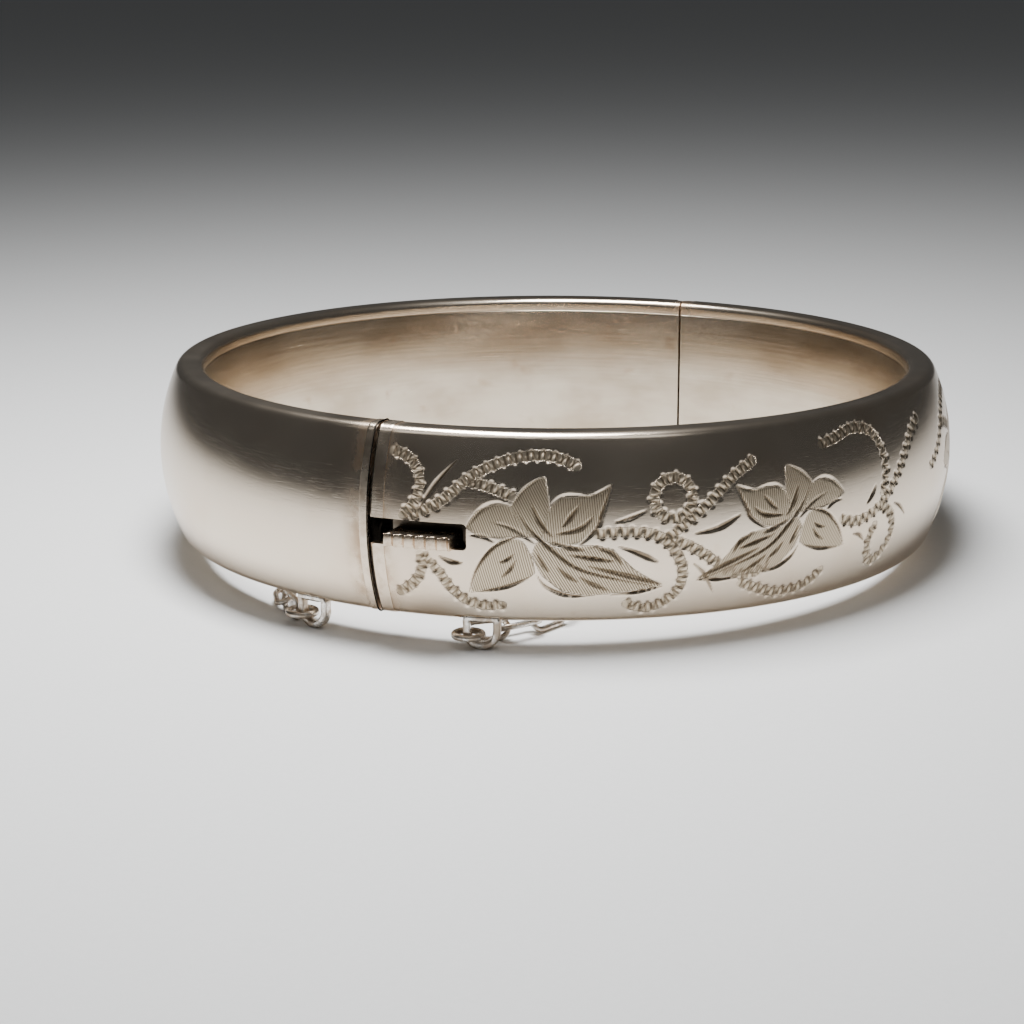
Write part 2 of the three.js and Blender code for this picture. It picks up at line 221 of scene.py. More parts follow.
CLEAN_SILVER = (0.80, 0.685, 0.55, 1)
WARM_SILVER = (0.64, 0.48, 0.34, 1)
# Brown of tarnish, also used for painted shade on the shell's inner face.
TARNISH_AND_SHADE = (0.34, 0.215, 0.125, 1)
CUT_SHADE = (0.16, 0.115, 0.07, 1)
HATCHED = (0.60, 0.50, 0.365, 1)
# Near black: painted shade for the seam gap between the clasp plates and for what sits inside the band's
# slot.
PAINTED_GAP_SHADE = (0.012, 0.010, 0.008, 1)
HATCH_PITCH = 0.17


def patina(n, position, tarnish_and_shade):
    """Colour of old polished silver: clean, with warm clouds, and brown where the tarnish value is 1;
    from silver() that value also holds painted shade on the inner face.
    """
    clouds = n.step(n.noise(position, 9.0, 4.0), 0.42, 0.72)
    color = n.mix(n.math("MULTIPLY", clouds, 0.45), CLEAN_SILVER, WARM_SILVER)
    specks = n.step(n.noise(position, 0.9, 4.0), 0.63, 0.74)
    color = n.mix(n.math("MULTIPLY", specks, 0.22), color, WARM_SILVER)
    return n.mix(tarnish_and_shade, color, TARNISH_AND_SHADE)


def scratches(n, position):
    """Height of fine polishing scratches in three directions."""
    total = None
    for turn, stretch in ((0.35, 14.0), (-0.5, 10.0), (1.2, 18.0)):
        turned = n.scaled(position, (1.0, 1.0, stretch), (turn, turn * 0.6, 0.0))
        lines = n.step(n.noise(turned, 1.7, 2.0), 0.60, 0.66)
        total = lines if total is None else n.math("ADD", total, lines)
    return total


def silver(name, engraved=False):
    """Polished silver of the band's outside."""
    n = Nodes(name)
    position = n.object_coordinates()
    stain_and_shade = n.attribute("stain_and_shade")
    broken = n.step(n.noise(position, 1.6, 5.0), 0.30, 0.62)
    # Real solder stains near the ends; on the inner face the stain value is painted shade, dark brown,
    # seen on the slot walls.
    tarnish_and_shade = n.math("MULTIPLY", stain_and_shade, broken)
    color = patina(n, position, tarnish_and_shade)
    smear = n.noise(position, 6.0, 3.0)
    roughness = n.math("MULTIPLY_ADD", smear, 0.10)
    roughness.node.inputs[2].default_value = 0.16
    roughness = n.math("ADD", roughness, n.math("MULTIPLY", tarnish_and_shade, 0.22))
    height = n.math("MULTIPLY", scratches(n, position), -1.0)
    normal = n.bump(height, 0.0012, 0.8)
    waves = n.noise(position, 7.0, 1.0)
    normal = n.bump(waves, 0.02, 0.6, normal)
    if engraved:
        cut = n.attribute("cut")
        hatch = n.attribute("hatch")
        lines = n.math("SINE", n.math("MULTIPLY", n.attribute("phase"), 2 * math.pi))
        groove = n.math("MULTIPLY", n.step(lines, 0.0, 0.9), hatch)
        color = n.mix(n.math("MULTIPLY", hatch, 0.85), color, HATCHED)
        color = n.mix(n.math("MULTIPLY", groove, 0.85), color, CUT_SHADE)
        # Dark oxide in the engraved cuts; on the inner face, where cut is 1, this is painted shade on the
        # slot walls.
        darkening = n.math("ADD", n.math("MULTIPLY", broken, 0.3), 0.6)
        soot_and_shade = n.math("MULTIPLY", cut, darkening)
        color = n.mix(soot_and_shade, color, CUT_SHADE)
        roughness = n.math("ADD", roughness, n.math("MULTIPLY", hatch, 0.16))
        roughness = n.math("ADD", roughness, n.math("MULTIPLY", cut, 0.14))
        normal = n.bump(n.math("MULTIPLY", groove, -1.0), 0.05, 0.8, normal)
    return n.finish(color, roughness, normal)


def plate_silver():
    """Bright rubbed edge of the clasp plates, with painted shade, near black, on the faces at the seam
    gap between them.
    """
    n = Nodes("plate_silver")
    position = n.object_coordinates()
    blots = n.step(n.noise(position, 1.1, 5.0), 0.45, 0.68)
    color = patina(n, position, n.math("MULTIPLY", blots, 0.4))
    across = n.add("ShaderNodeSeparateXYZ")
    n.link(position, across.inputs[0])
    from_seam = n.math("ABSOLUTE", across.outputs[0])
    # Painted shade: near black on the plate faces at the seam gap, within 0.19 to 0.24 mm of the seam.
    seam_shade = n.math("SUBTRACT", 1.0, n.step(from_seam, 0.19 * MM, 0.24 * MM))
    color = n.mix(seam_shade, color, PAINTED_GAP_SHADE)
    smear = n.noise(position, 1.5, 4.0)
    roughness = n.math("MULTIPLY_ADD", smear, 0.22)
    roughness.node.inputs[2].default_value = 0.14
    filed = n.noise(n.scaled(position, (1.0, 1.0, 12.0)), 1.2, 3.0)
    normal = n.bump(filed, 0.012, 0.7)
    return n.finish(color, roughness, normal)


def thumb_silver():
    """Bright where the thumb rubs it, with painted shade, near black, on the part inside the band's slot.
    """
    n = Nodes("thumb_silver")
    position = n.object_coordinates()
    blots = n.step(n.noise(position, 0.7, 5.0), 0.42, 0.68)
    color = patina(n, position, n.math("MULTIPLY", blots, 0.5))
    split = n.add("ShaderNodeSeparateXYZ")
    n.link(position, split.inputs[0])
    x, y = split.outputs[0], split.outputs[1]
    squares = n.math("ADD", n.math("MULTIPLY", x, x), n.math("MULTIPLY", y, y))
    # Painted shade: near black within 31.3 mm of the wrist axis, inside the band's slot, clear by 32.3
    # mm.
    outside = n.step(n.math("SQRT", squares), 31.3 * MM, 32.3 * MM)
    color = n.mix(outside, PAINTED_GAP_SHADE, color)
    roughness = n.math("MULTIPLY_ADD", n.noise(position, 0.8, 4.0), 0.2)
    roughness.node.inputs[2].default_value = 0.15
    normal = n.bump(n.noise(position, 0.5, 3.0), 0.02, 0.7)
    return n.finish(color, roughness, normal)


def satin():
    """Drawn strip of the lining: fine lines along the band, warm and softly worn."""
    n = Nodes("satin_silver")
    position = n.object_coordinates()
    clouds = n.step(n.noise(n.scaled(position, (1.0, 1.0, 2.2)), 11.0, 4.0), 0.36, 0.70)
    color = n.mix(clouds, (0.64, 0.555, 0.445, 1), (0.46, 0.375, 0.28, 1))
    blots = n.step(n.noise(position, 2.2, 5.0), 0.60, 0.78)
    color = n.mix(n.math("MULTIPLY", blots, 0.4), color, TARNISH_AND_SHADE)
    drawn = n.noise(n.scaled(position, (1.0, 1.0, 30.0)), 9.0, 4.0)
    roughness = n.math("MULTIPLY_ADD", drawn, 0.14)
    roughness.node.inputs[2].default_value = 0.17
    normal = n.bump(drawn, 0.006, 0.8)
    normal = n.bump(n.noise(position, 8.0, 1.0), 0.045, 0.8, normal)
    return n.finish(color, roughness, normal)


def wire():
    """Worn wire and loops: bright where rubbed, dark in the hollows."""
    n = Nodes("silver_wire")
    position = n.object_coordinates()
    worn = n.step(n.noise(position, 0.8, 5.0), 0.40, 0.64)
    color = n.mix(worn, (0.45, 0.37, 0.29, 1), (0.80, 0.765, 0.715, 1))
    roughness = n.math("MULTIPLY_ADD", worn, -0.14)
    roughness.node.inputs[2].default_value = 0.40
    normal = n.bump(n.noise(position, 0.45, 4.0), 0.03, 0.7)
    return n.finish(color, roughness, normal)


def hinge_silver():
    """Hinge barrel: silver stained coppery by the solder."""
    n = Nodes("warm_hinge_silver")
    position = n.object_coordinates()
    worn = n.step(n.noise(position, 0.9, 5.0), 0.42, 0.62)
    color = n.mix(worn, (0.36, 0.235, 0.155, 1), (0.66, 0.53, 0.42, 1))
    roughness = n.math("MULTIPLY_ADD", worn, -0.1)
    roughness.node.inputs[2].default_value = 0.42
    normal = n.bump(n.noise(position, 0.4, 4.0), 0.025, 0.7)
    return n.finish(color, roughness, normal)


def paper():
    """The pale table."""
    n = Nodes("paper")
    position = n.object_coordinates()
    grain = n.noise(position, 0.5, 4.0)
    color = n.mix(grain, (0.75, 0.757, 0.757, 1), (0.80, 0.805, 0.803, 1))
    normal = n.bump(grain, 0.01, 0.3)
    material = n.finish(color, 0.55, normal)
    n.shader.inputs["Metallic"].default_value = 0.0
    n.shader.inputs["Specular IOR Level"].default_value = 0.35
    return material


PLAIN_SILVER = silver("polished_silver")
ENGRAVED_SILVER = silver("engraved_silver", engraved=True)
PLATE_SILVER = plate_silver()
SATIN = satin()
WIRE = wire()
THUMB = thumb_silver()
HINGE = hinge_silver()


# ---------------------------------------------------------------- mesh helpers


def make_object(name, vertices, faces, material, attributes=None):
    """A smooth-shaded mesh object from millimetres in the row frame."""
    mesh = bpy.data.meshes.new(name)
    mesh.from_pydata((np.asarray(vertices, float) * MM).tolist(), [], faces)
    mesh.update()
    for key, values in (attributes or {}).items():
        layer = mesh.attributes.new(key, "FLOAT", "POINT")
        layer.data.foreach_set("value", np.asarray(values, np.float32))
    mesh.materials.append(material)
    mesh.polygons.foreach_set("use_smooth", [True] * len(mesh.polygons))
    made = bpy.data.objects.new(name, mesh)
    bpy.context.scene.collection.objects.link(made)
    return made


def outward_normals(made):
    """Makes every face of a closed mesh point outwards."""
    bm = bmesh.new()
    bm.from_mesh(made.data)
    bmesh.ops.recalc_face_normals(bm, faces=bm.faces)
    bm.to_mesh(made.data)
    bm.free()


def place(made, body, slot, *nodes):
    """The piece rides on a body and stands for these CAD nodes."""
    outward_normals(made)
    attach(made, body)
    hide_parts(*nodes)
    return made


def apply_modifiers(made):
    """Replaces the mesh with the result of its modifiers."""
    evaluated = made.evaluated_get(bpy.context.evaluated_depsgraph_get())
    finished = bpy.data.meshes.new_from_object(evaluated)
    made.modifiers.clear()
    old = made.data
    made.data = finished
    bpy.data.meshes.remove(old)


def soften_edges(made, width_mm, segments=2, angle=35):
    """Rounds the sharp edges, and shades what is left flat as flat."""
    bevel = made.modifiers.new("bevel", "BEVEL")
    bevel.width = width_mm * MM
    bevel.segments = segments
    bevel.limit_method = "ANGLE"
    bevel.angle_limit = math.radians(angle)
    bevel.harden_normals = False
    normals = made.modifiers.new("normals", "WEIGHTED_NORMAL")
    normals.keep_sharp = True
    apply_modifiers(made)


def carve(made, cutters, operation="DIFFERENCE"):
    """Cuts or joins other objects, which are then removed."""
    for cutter in cutters:
        outward_normals(cutter)
        change = made.modifiers.new("carve", "BOOLEAN")
        change.operation = operation
        change.solver = "EXACT"
        change.object = cutter
    apply_modifiers(made)
    for cutter in cutters:
        bpy.data.objects.remove(cutter)


def prism(name, outline, low, high, axis, material):
    """An outline pushed from low to high along an axis. The outline is in the other two axes."""
    vertices = []
    for level in (low, high):
        for a, b in outline:
            point = [a, b]
            point.insert("xyz".index(axis), level)
            vertices.append(point)
    count = len(outline)
    faces = [tuple(range(count)), tuple(range(count, 2 * count))]
    for i in range(count):
        j = (i + 1) % count
        faces.append((i, j, count + j, count + i))
    made = make_object(name, vertices, faces, material)
    outward_normals(made)
    return made


def tube(name, path, section, material, wobble=0.0):
    """A closed loop of section swept along a closed path of (point, side, up) frames."""
    vertices = []
    for point, side, up in path:
        for a, b in section:
            place_at = point + side * a + up * b
            if wobble:
                shake = noise.noise(place_at * 1.9)
                place_at = place_at + (side * a + up * b).normalized() * shake * wobble
            vertices.append(place_at)
    count, rounds = len(section), len(path)
    faces = []
    for i in range(rounds):
        for j in range(count):
            a = i * count + j
            b = i * count + (j + 1) % count
            c = ((i + 1) % rounds) * count
            faces.append((a, b, c + (j + 1) % count, c + j))
    return make_object(name, vertices, faces, material)


def rounded_rectangle(half_a, half_b, radius, steps=4):
    points = []
    corners = ((1, 1, 0), (-1, 1, 90), (-1, -1, 180), (1, -1, 270))
    for sign_a, sign_b, start in corners:
        for i in range(steps + 1):
            turn = math.radians(start + 90 * i / steps)
            a = sign_a * (half_a - radius) + radius * math.cos(turn)
            b = sign_b * (half_b - radius) + radius * math.sin(turn)
            points.append((a, b))
    return points


def circle(radius, steps=14):
    turns = [2 * math.pi * i / steps for i in range(steps)]
    return [(radius * math.cos(t), radius * math.sin(t)) for t in turns]


def graded(start, end, step, fine=(0.03, 0.07, 0.13)):
    """Positions from start to end, closer together at both ends."""
    near = [start] + [start + f for f in fine]
    far = [end - f for f in reversed(fine)] + [end]
    inner_start, inner_end = near[-1], far[0]
    count = max(1, round((inner_end - inner_start) / step))
    middle = [inner_start + (inner_end - inner_start) * i / count for i in range(1, count)]
    return near + middle + far


# ---------------------------------------------------------------- the band's section


FILLET_REACH = DOME_RADIUS - OUTER_ROUND
FILLET_Z = HALF_HEIGHT - OUTER_ROUND
FILLET_R = OUTER_RADIUS - DOME_RADIUS + math.sqrt(FILLET_REACH**2 - FILLET_Z**2)
TANGENT = math.asin(FILLET_Z / FILLET_REACH)
DOME_HALF = DOME_RADIUS * math.sin(TANGENT)


def section_arc(r, z, radius, start, end, steps):
    """Points (r, z, normal r, normal z) on an arc of the section."""
    turns = np.linspace(start, end, steps + 1)
    c, s = np.cos(turns), np.sin(turns)
    return np.stack([r + radius * c, z + radius * s, c, s], 1)


def rim_rows(land_steps=10, round_steps=7):
    """The lower rim of the section, from the inner face to the foot of the dome."""
    quarter = math.pi / 2
    face = np.array([[INNER_RADIUS, -FOLD_HALF, -1.0, 0.0]])
    inner = section_arc(
        INNER_RADIUS + INNER_ROUND, INNER_ROUND - HALF_HEIGHT, INNER_ROUND, 2 * quarter, 3 * quarter, 6
    )
    land_r = np.linspace(INNER_RADIUS + INNER_ROUND, FILLET_R, land_steps + 1)[1:-1]
    ones = np.ones_like(land_r)
    land = np.stack([land_r, -HALF_HEIGHT * ones, 0 * ones, -ones], 1)
    fillet = section_arc(FILLET_R, -FILLET_Z, OUTER_ROUND, -quarter, -TANGENT, round_steps)
    return np.concatenate([face, inner, land, fillet[:-1]])


def dome_rows(heights):
    z = np.array(heights)
    turns = np.arcsin(z / DOME_RADIUS)
    r = OUTER_RADIUS - DOME_RADIUS + DOME_RADIUS * np.cos(turns)
    return np.stack([r, z, np.cos(turns), np.sin(turns)], 1)


def whole_section(heights):
    low = rim_rows()
    high = low[::-1] * np.array([1, -1, 1, -1])
    return np.concatenate([low, dome_rows(heights), high])


def notch_half_width(r):
    """Half the gap between the halves at the hinge, at this distance from the wrist axis."""
    from_pin = r - PIN_Y
    round_part = np.sqrt(np.maximum(NOTCH_RADIUS**2 - from_pin**2, 0))
    wedge = np.maximum(from_pin, 0) * NOTCH_SLOPE
    return np.maximum(np.maximum(round_part, wedge), HINGE_SEAM_HALF)


# ---------------------------------------------------------------- engraving


def smooth_path(points, per_span=10):
    """A Catmull-Rom curve through a few points."""
    p = np.array([points[0], *points, points[-1]], float)
    out = []
    for i in range(1, len(p) - 2):
        t = np.linspace(0, 1, per_span, endpoint=False)[:, None]
        a = 2 * p[i]
        b = p[i + 1] - p[i - 1]
        c = 2 * p[i - 1] - 5 * p[i] + 4 * p[i + 1] - p[i + 2]
        d = 3 * p[i] - p[i - 1] - 3 * p[i + 1] + p[i + 2]
        out.append((a + b * t + c * t**2 + d * t**3) / 2)
    out.append(p[-2:-1])
    return np.concatenate(out)


def lengths_along(path):
    steps = np.hypot(*np.diff(path, axis=0).T)
    return np.concatenate([[0], np.cumsum(steps)])


def shifted(points, along):
    return [(s + along, z) for s, z in points]


class Engraving:
    """Depth and finish of what is cut into a grid of surface points (s along, z across)."""

    def __init__(self, s, z):
        self.s = s
        self.z = z
        self.depth = np.zeros_like(s)
        self.cut = np.zeros_like(s)
        self.hatch = np.zeros_like(s)
        self.phase = np.zeros_like(s)
        self.columns = s[:, s.shape[1] // 2]
        self.rows = z[0]

    def window(self, low, high, margin):
        """The part of the grid that a stroke can touch."""
        i0, i1 = np.searchsorted(self.columns, (low[0] - margin, high[0] + margin))
        k0, k1 = np.searchsorted(self.rows, (low[1] - margin, high[1] + margin))
        return slice(i0, i1), slice(k0, k1)

    def nearest(self, area, path):
        """For each grid point: distance to the path, and how far along it, from 0 to 1."""
        p = np.stack([self.s[area], self.z[area]], -1)[..., None, :]
        a = path[:-1]
        d = path[1:] - a
        size = np.maximum((d**2).sum(-1), 1e-9)
        t = np.clip(((p - a) * d).sum(-1) / size, 0, 1)
        gap = np.hypot(*np.moveaxis(p - a - t[..., None] * d, -1, 0))
        best = gap.argmin(-1)[..., None]
        far = lengths_along(path)
        along = far[:-1] + t * np.sqrt(size)
        pick = np.take_along_axis
        return pick(gap, best, -1)[..., 0], pick(along, best, -1)[..., 0] / far[-1]

    def sink(self, area, depth, shade):
        self.depth[area] = np.maximum(self.depth[area], depth)
        self.cut[area] = np.maximum(self.cut[area], shade)

    def lens(self, points, width, depth=0.16, shade=1.0, tail=0.5):
        """A pointed V cut that swells between its ends. tail is where it is widest."""
        path = smooth_path(points)
        area = self.window(path.min(0), path.max(0), width)
        gap, u = self.nearest(area, path)
        swell = np.where(u < tail, u / tail, (1 - u) / (1 - tail))
        half = np.maximum(width / 2 * np.sqrt(np.clip(swell, 0, 1)), 1e-3)
        inside = np.clip(1 - gap / half, 0, 1)
        self.sink(area, inside * depth * half / (width / 2), np.clip(inside * 2, 0, 1) * shade)

    def wriggle(self, points, half_width=0.33, period=0.84):
        """Wriggle-work: a zigzag walked along a curve, deepest at its turns."""
        path = smooth_path(points)
        far = lengths_along(path)
        self.frost(path, half_width + 0.05, far[-1], period / 2)
        count = max(2, round(far[-1] / (period / 2)))
        at = np.linspace(0, far[-1], count + 1)
        centre = np.stack([np.interp(at, far, path[:, i]) for i in (0, 1)], 1)
        ahead = np.gradient(centre, axis=0)
        ahead /= np.hypot(*ahead.T)[:, None]
        side = np.stack([-ahead[:, 1], ahead[:, 0]], 1)
        swing = np.where(np.arange(count + 1) % 2 == 0, half_width, -half_width)
        zigzag = centre + side * swing[:, None]
        for a, b in zip(zigzag[:-1], zigzag[1:]):
            leg = np.array([a, b])
            area = self.window(leg.min(0), leg.max(0), 0.25)
            gap, u = self.nearest(area, leg)
            half = 0.15 + 0.07 * np.abs(2 * u - 1)
            inside = np.clip(1 - gap / half, 0, 1)
            self.sink(area, inside * 0.6 * half, np.clip(inside * 1.5, 0, 1) * 0.6)

    def frost(self, path, half, length, pitch):
        """Roughens a ribbon along a path with fine lines across it."""
        area = self.window(path.min(0), path.max(0), half + 0.1)
        gap, u = self.nearest(area, path)
        fill = np.clip((half - gap) / 0.08, 0, 1) * 0.8
        self.phase[area] = np.where(fill > self.hatch[area], u * length / pitch, self.phase[area])
        self.hatch[area] = np.maximum(self.hatch[area], fill)

    def leaf(self, outline, direction, recess=0.025):
        """A lobe shaded with fine parallel lines that run at this angle, in degrees."""
        ring = np.array(outline, float)
        area = self.window(ring.min(0), ring.max(0), 0.3)
        s, z = self.s[area], self.z[area]
        inside = np.zeros(s.shape, bool)
        for (s0, z0), (s1, z1) in zip(ring, np.roll(ring, -1, 0)):
            crosses = (z0 > z) != (z1 > z)
            rise = z1 - z0 if z1 != z0 else 1e-9
            inside ^= crosses & (s < (s1 - s0) * (z - z0) / rise + s0)
        gap, _ = self.nearest(area, np.concatenate([ring, ring[:1]]))
        fill = np.clip(gap / 0.08, 0, 1) * inside
        turn = math.radians(direction)
        phase = (s * math.sin(turn) - z * math.cos(turn)) / HATCH_PITCH
        self.depth[area] = np.maximum(self.depth[area], fill * recess)
        self.hatch[area] = np.maximum(self.hatch[area], fill)
        self.phase[area] = np.where(inside, phase, self.phase[area])


def maple_leaf(e, at, turn=0.0, size=1.0, flip=1.0):
    """A five-lobed leaf with bright-cut edges and dark veins, drawn round its heart."""
    cos, sin = math.cos(math.radians(turn)), math.sin(math.radians(turn))

    def put(points):
        out = []
        for s, z in points:
            z *= flip
            out.append((at[0] + size * (s * cos - z * sin), at[1] + size * (s * sin + z * cos)))
        return out

    def lobe(points, direction):
        e.leaf(smooth_outline(put(points)), direction * flip + turn)

    def edge(points, width):
        e.lens(put(points), width * size, 0.13, 0.35)

    def vein(points, width, tail=0.55):
        e.lens(put(points), 1.3 * width * size, 0.2, 1.0, tail)

    lobe(
        [
            (-5.1, 0.9), (-4.3, 2.1), (-3.0, 2.6), (-1.8, 2.5), (-0.6, 1.2), (0.2, 0.2),
            (-1.0, 0.3), (-2.6, 0.1), (-4.2, 0.2)
        ],
        -68
    )
    lobe(
        [
            (-1.9, 2.5), (-1.2, 3.6), (-0.3, 4.3), (0.6, 4.6), (0.8, 3.3), (0.9, 2.5), (0.9, 1.0),
            (0.2, 0.0), (-1.0, 0.9)
        ],
        -62
    )
    lobe(
        [
            (0.9, 2.5), (1.6, 3.1), (3.0, 3.2), (4.3, 3.4), (5.3, 4.0), (4.9, 2.6), (4.2, 1.0),
            (3.0, -0.2), (1.2, -0.4), (0.3, 0.2)
        ],
        -84
    )
    lobe(
        [
            (0.0, 0.0), (1.4, -0.5), (3.8, -0.3), (5.4, -0.6), (6.9, -2.2), (9.2, -3.7),
            (6.6, -4.0), (3.6, -4.3), (1.8, -3.9), (0.3, -2.6), (-0.4, -1.0)
        ],
        -60
    )
    lobe(
        [
            (-4.9, -4.2), (-4.4, -2.4), (-3.4, -0.7), (-2.2, 0.3), (-1.0, 0.0), (-0.3, -1.2),
            (-0.1, -2.5), (-1.4, -3.3), (-3.2, -3.9)
        ],
        -76
    )

    edge([(-5.1, 0.7), (-4.0, 2.1), (-2.9, 2.65), (-1.7, 2.45)], 0.42)
    edge([(-1.8, 2.4), (-0.9, 3.6), (0.4, 4.6)], 0.42)
    edge([(0.9, 2.5), (1.7, 3.15), (2.9, 3.25), (3.7, 3.1)], 0.36)
    edge([(3.6, 3.1), (4.6, 3.5), (5.3, 4.0)], 0.34)
    edge([(-4.8, 0.3), (-3.8, 0.25), (-2.9, -0.2)], 0.34)
    edge([(-3.4, 1.3), (-2.0, 1.0), (-0.9, 0.4), (0.1, -0.3)], 0.36)
    edge([(3.5, -0.5), (4.4, -0.4), (4.9, -0.8)], 0.22)

    vein([(-5.0, -4.2), (-4.3, -2.2), (-3.0, -0.5), (-1.2, 0.4)], 0.22)
    vein([(-4.3, -4.1), (-2.2, -3.6), (-0.4, -2.7)], 0.26)
    vein([(0.0, -2.6), (0.6, -3.5), (2.0, -4.2), (3.6, -4.3)], 0.30)
    vein([(5.3, -4.2), (7.2, -4.1), (9.2, -3.7)], 0.24)
    vein([(5.3, 4.0), (4.6, 2.0), (4.2, 0.9), (2.9, -0.4)], 0.30)
    vein([(-1.4, 2.1), (-0.6, 1.0), (1.0, -0.6), (3.4, -2.3), (8.6, -3.7)], 0.26, 0.3)
    vein([(-0.4, 2.7), (0.2, 1.4), (1.1, 0.3)], 0.34, 0.45)
    vein([(3.0, 2.6), (2.4, 1.8), (1.8, 1.0)], 0.34)
    vein([(4.0, 1.8), (3.0, 0.9), (1.3, 0.5)], 0.34, 0.4)
    vein([(1.0, 0.0), (2.0, -0.4), (3.4, -0.7)], 0.34, 0.6)
    vein([(2.2, -1.0), (3.8, -1.3), (5.6, -1.6)], 0.34)
    vein([(4.2, -0.5), (5.4, -1.0), (6.1, -1.9)], 0.34)
    vein([(3.6, -1.9), (6.0, -2.6), (9.2, -3.6)], 0.42)
    vein([(0.0, -0.9), (0.4, -1.7), (0.9, -2.4)], 0.30)
    vein([(1.4, -1.9), (2.1, -2.6), (3.0, -3.2)], 0.32)
    vein([(3.0, -2.7), (3.9, -3.3), (5.2, -3.9)], 0.34)
    vein([(-2.8, -1.7), (-2.2, -1.5), (-1.6, -1.0)], 0.24)
    vein([(-2.6, -2.9), (-1.9, -2.2), (-1.5, -1.5)], 0.26)


def smooth_outline(points):
    """A closed outline rounded a little between its points."""
    ring = np.array(points, float)
    before, after = np.roll(ring, 1, 0), np.roll(ring, -1, 0)
    out = []
    for p, a, b in zip(ring, before, after):
        out.extend([p * 0.75 + a * 0.25, p * 0.94 + (a + b) * 0.03, p * 0.75 + b * 0.25])
    return out


def clasp_scrolls(e):
    """The scrolls that start at the clasp slot."""
    e.wriggle([(1.6, 5.4), (2.9, 4.95), (3.75, 3.9), (3.75, 2.5), (3.3, 1.6), (2.7, 0.95)])
    e.wriggle([(3.9, -1.9), (4.0, -2.8), (3.7, -3.6), (3.0, -4.4), (2.1, -5.0)])
    e.wriggle([(4.2, -2.0), (5.3, -3.2), (6.0, -4.3), (7.1, -5.3), (8.4, -5.7), (9.8, -5.6)])
    e.lens([(3.8, 1.3), (5.0, 3.3), (6.6, 5.1)], 0.42)
    e.lens([(5.3, -1.9), (6.2, -2.3), (7.1, -2.35)], 0.5)


def branch(e, along):
    """One length of the running pattern: a scroll, a leaf, a ring with sprays, and a second leaf."""

    def scroll(points):
        e.wriggle(shifted(points, along))

    def dash(points, width, tail=0.5):
        e.lens(shifted(points, along), width, 0.16, 1.0, tail)

    scroll(
        [
            (3.2, 0.9), (5.0, 1.8), (6.3, 2.8), (7.4, 3.8), (9.0, 4.7), (10.8, 5.3), (12.6, 5.5),
            (14.0, 5.3), (15.2, 4.8)
        ]
    )
    scroll([(7.4, 3.6), (8.5, 3.4), (9.5, 3.1), (10.6, 2.7)])
    maple_leaf(e, (12.4 + along, -0.5))
    scroll(
        [
            (16.6, 0.0), (18.3, 0.1), (20.0, 0.0), (21.4, -0.5), (22.4, -1.6), (23.0, -3.0),
            (22.8, -4.5), (21.6, -5.6), (20.2, -5.9), (19.0, -5.5)
        ]
    )
    ring_centre, ring_radius = (22.2 + along, 2.35), 1.45
    turns = [2 * math.pi * i / 12 for i in range(13)]
    ring_s, ring_z = ring_centre
    e.wriggle([(ring_s + ring_radius * math.cos(t), ring_z + ring_radius * math.sin(t)) for t in turns])
    scroll([(21.9, -0.4), (23.2, 0.6), (24.4, 1.5), (25.6, 2.5), (26.9, 3.6), (28.5, 4.5)])
    scroll(
        [
            (21.9, -0.6), (23.2, -1.1), (24.4, -1.8), (25.8, -2.8), (27.3, -3.7), (28.7, -3.85),
            (30.0, -3.3)
        ]
    )
    scroll([(27.8, -4.5), (29.2, -5.1), (31.0, -5.7), (33.0, -5.7), (34.3, -5.3), (35.1, -4.6)])
    dash([(17.8, 0.8), (19.0, 1.1), (20.2, 1.6)], 0.34)
    dash([(18.1, -0.9), (19.6, -1.5), (21.2, -2.3)], 0.55, 0.7)
    dash([(23.7, -0.3), (25.6, 0.0), (27.3, 0.8)], 0.55, 0.6)
    dash([(23.7, -2.5), (24.7, -3.5), (25.6, -5.1)], 0.42)
    maple_leaf(e, (32.2 + along, 0.1), turn=186, size=0.92, flip=-0.92)
    scroll(
        [
            (35.0, 5.0), (36.4, 5.2), (38.0, 5.6), (39.4, 5.6), (40.7, 5.1), (41.5, 4.1),
            (41.9, 2.8), (41.8, 1.5), (41.4, 0.5)
        ]
    )
    scroll(
        [
            (36.6, -0.8), (38.0, -1.2), (39.4, -1.1), (40.8, -0.6), (42.2, 0.3), (43.4, 1.4),
            (44.8, 2.8), (46.4, 4.2), (48.0, 4.9)
        ]
    )
    scroll(
        [
            (41.4, -0.6), (42.6, -1.4), (43.2, -2.8), (42.6, -4.3), (41.2, -5.0), (40.3, -4.2),
            (40.1, -3.0), (40.6, -2.0)
        ]
    )
    dash([(38.0, -2.2), (38.8, -2.4), (39.5, -3.0)], 0.36, 0.6)
    dash([(39.3, -0.1), (40.0, 0.5), (40.5, 1.2)], 0.42, 0.6)
    dash([(42.9, -0.6), (44.0, -1.1), (45.0, -2.0)], 0.36)


REPEAT = 46.5


def engrave(e):
    clasp_scrolls(e)
    branch(e, 0.0)
    branch(e, REPEAT)


# ---------------------------------------------------------------- band halves


def stain_near_ends(s, end):
    """Solder stains near the clasp plate and the hinge."""
    clasp = np.clip(1 - (s - 0.9) / 1.6, 0, 1) ** 1.5
    hinge = np.clip(1 - (end - s) / 2.5, 0, 1) ** 1.5
    return np.maximum(clasp, hinge) * 0.85


